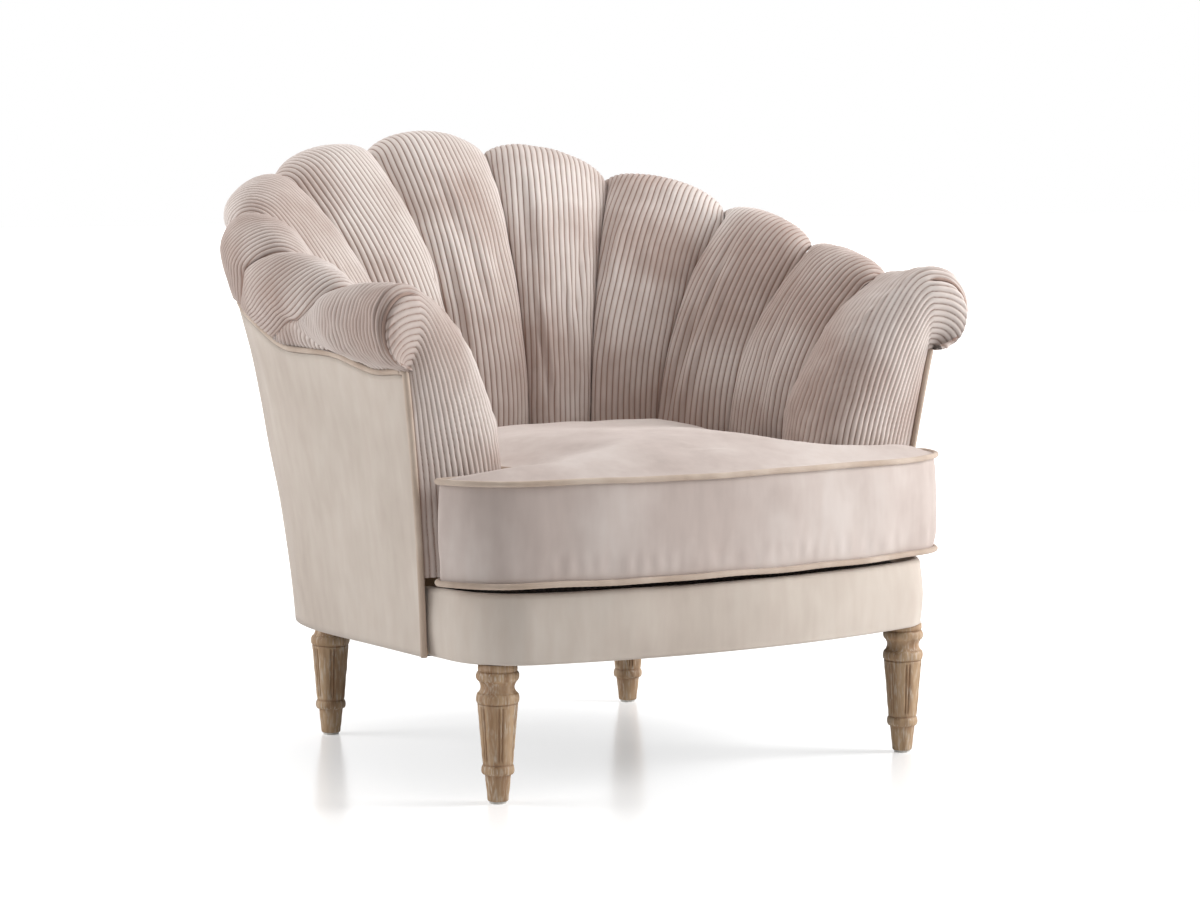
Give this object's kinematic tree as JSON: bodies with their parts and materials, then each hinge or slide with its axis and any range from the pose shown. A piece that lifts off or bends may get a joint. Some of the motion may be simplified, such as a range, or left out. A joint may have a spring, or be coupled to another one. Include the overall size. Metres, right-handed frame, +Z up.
{
  "type": "lounge chair",
  "caption": "Round-backed upholstered lounge chair with stuffed ribbed channels over the arms and back, a loose T-shaped seat cushion and turned fluted legs.",
  "frame": {"origin": "on the floor, under the middle of the chair's box", "axes": "+Z up; -Y towards the front, where the sitter faces; +X to the sitter's left"},
  "size_m": [0.965, 0.8752, 0.8598],
  "materials": {
    "ribbed_velvet": "matt pleated velvet, blush",
    "plain_velvet": "matt plain velvet, blush",
    "piping": "matt velvet cord, a warmer tone",
    "limed_wood": "turned oak with a rubbed lime wash",
    "frame_wood": "sawn beech, unfinished",
    "nylon": "matt",
    "zinc_steel": "zinc plated",
    "webbing": "woven elastic webbing",
    "deck_felt": "needled felt",
    "deck_cloth": "plain lining cloth",
    "dust_cloth": "black non-woven cloth",
    "foam": "cut foam",
    "zip_tape": "woven tape",
    "zip_plastic": "matt"
  },
  "bodies": {
    "chair": {"channel_01": "ribbed_velvet", "channel_02": "ribbed_velvet", "channel_03": "ribbed_velvet", "channel_04": "ribbed_velvet", "channel_05": "ribbed_velvet", "channel_06": "ribbed_velvet", "channel_07": "ribbed_velvet", "channel_08": "ribbed_velvet", "channel_09": "ribbed_velvet", "channel_10": "ribbed_velvet", "channel_11": "ribbed_velvet", "outside_back": "plain_velvet", "outside_arm_left": "plain_velvet", "outside_arm_right": "plain_velvet", "apron": "plain_velvet", "welt_crest": "piping", "welt_front_left": "piping", "welt_front_right": "piping", "leg_front_left": "limed_wood", "leg_front_right": "limed_wood", "leg_back_left": "limed_wood", "leg_back_right": "limed_wood", "glides": "nylon", "leg_bolts": "zinc_steel", "front_rail": "frame_wood", "side_rail_left": "frame_wood", "side_rail_right": "frame_wood", "back_rail": "frame_wood", "corner_blocks": "frame_wood", "arm_post_left": "frame_wood", "arm_post_right": "frame_wood", "arm_bars": "frame_wood", "crest_bars": "frame_wood", "tack_bars": "frame_wood", "rib_01": "frame_wood", "rib_02": "frame_wood", "rib_03": "frame_wood", "rib_04": "frame_wood", "rib_05": "frame_wood", "rib_06": "frame_wood", "rib_07": "frame_wood", "rib_08": "frame_wood", "rib_09": "frame_wood", "rib_10": "frame_wood", "webbing_long": "webbing", "webbing_cross": "webbing", "deck_pad": "deck_felt", "deck_cloth": "deck_cloth", "dust_cover": "dust_cloth"},
    "seat_cushion": {"cushion_foam": "foam", "cushion_cover": "plain_velvet", "cushion_piping_top": "piping", "cushion_piping_bottom": "piping", "zip_tape": "zip_tape", "zip_teeth": "zip_plastic"},
    "zip_slider": {"zip_slider": "zinc_steel"}
  },
  "joints": [
    {"name": "cushion_lift", "type": "slide", "parent": "chair", "child": "seat_cushion", "axis": [0, 0, 1], "range_m": [0, 0.12]},
    {"name": "zip_slide", "type": "slide", "parent": "seat_cushion", "child": "zip_slider", "axis": [1, 0, 0], "range_m": [-0.152, 0]}
  ]
}
